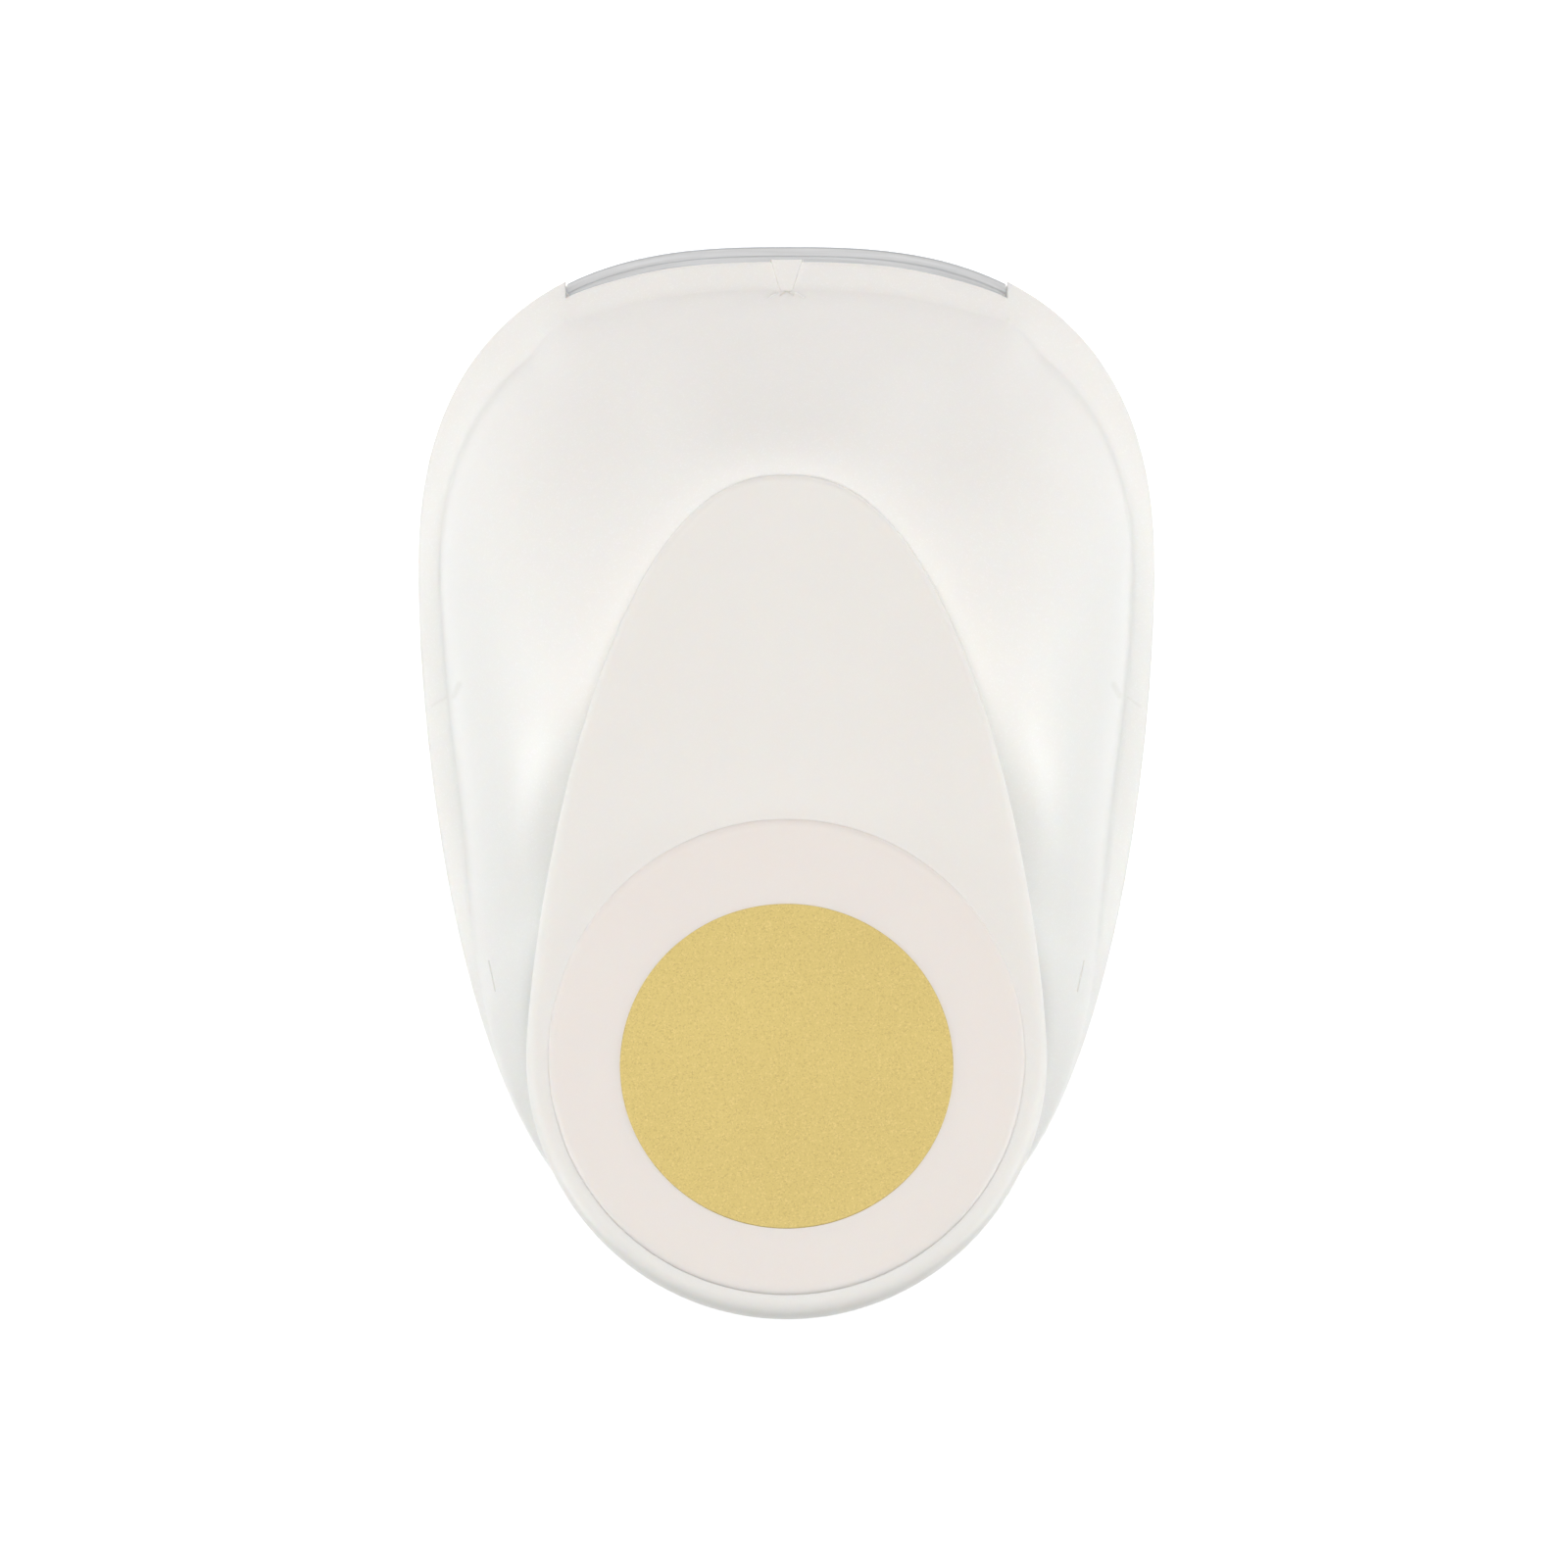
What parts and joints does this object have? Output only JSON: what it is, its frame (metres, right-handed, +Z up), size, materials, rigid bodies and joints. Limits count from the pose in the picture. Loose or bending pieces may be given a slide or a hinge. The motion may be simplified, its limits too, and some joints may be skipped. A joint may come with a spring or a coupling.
{
  "type": "circle punch",
  "caption": "Lever craft punch for paper circles: a domed white housing with a steel mouth and a sloping lever with a round thumb pad.",
  "frame": {"origin": "middle of the footprint, on the surface the punch stands on", "axes": "+Z up, -Y towards the paper mouth, +Y towards the thumb pad, X = 0 is the plane of symmetry"},
  "size_m": [0.0778, 0.1102, 0.0649],
  "materials": {
    "housing_plastic": "pearly white, fine satin grain",
    "lever_plastic": "warm white, smooth satin",
    "die_steel": "ground",
    "plated_steel": "zinc plated",
    "spring_wire": "drawn wire",
    "bronze": "sintered",
    "gold_foil": "matt metallic foil"
  },
  "bodies": {
    "housing": {"base_tray": "housing_plastic", "upper_shell": "housing_plastic", "housing_screw_1": "plated_steel", "housing_screw_2": "plated_steel", "housing_screw_3": "plated_steel", "housing_screw_4": "plated_steel", "die_plate": "die_steel", "guide_plate": "die_steel", "spacer_left": "die_steel", "spacer_right": "die_steel", "frame_rivet_1": "plated_steel", "frame_rivet_2": "plated_steel", "frame_rivet_3": "plated_steel", "frame_rivet_4": "plated_steel", "pivot_pin": "plated_steel", "pin_clip_left": "plated_steel", "pin_clip_right": "plated_steel", "guide_post_left": "plated_steel", "guide_post_right": "plated_steel", "post_clip_left": "plated_steel", "post_clip_right": "plated_steel", "return_spring_left": "spring_wire", "return_spring_right": "spring_wire"},
    "lever": {"lever_shell": "lever_plastic", "thumb_pad": "lever_plastic", "gold_disc": "gold_foil", "lever_arm": "plated_steel", "press_pin": "plated_steel", "press_roller": "plated_steel", "arm_screw_front": "plated_steel", "arm_screw_rear": "plated_steel"},
    "punch": {"punch_cutter": "die_steel", "punch_carrier": "plated_steel", "guide_bush_left": "bronze", "guide_bush_right": "bronze", "carrier_screw_left": "plated_steel", "carrier_screw_right": "plated_steel"}
  },
  "joints": [
    {"name": "lever_press", "type": "hinge", "parent": "housing", "child": "lever", "pos_m": [0, -0.03905, 0.0175], "axis": [-1, 0, 0], "range_deg": [0, 12.4], "stiffness_Nm_per_rad": 1.2, "springref_deg": -8.02},
    {"name": "punch_stroke", "type": "slide", "parent": "housing", "child": "punch", "axis": [0, 0, -1], "range_m": [0, 0.003], "deforming": ["return_spring_left", "return_spring_right"]}
  ],
  "couplings": [
    {"joint": "punch_stroke", "follows": "lever_press", "m_per_rad": 0.01386}
  ]
}
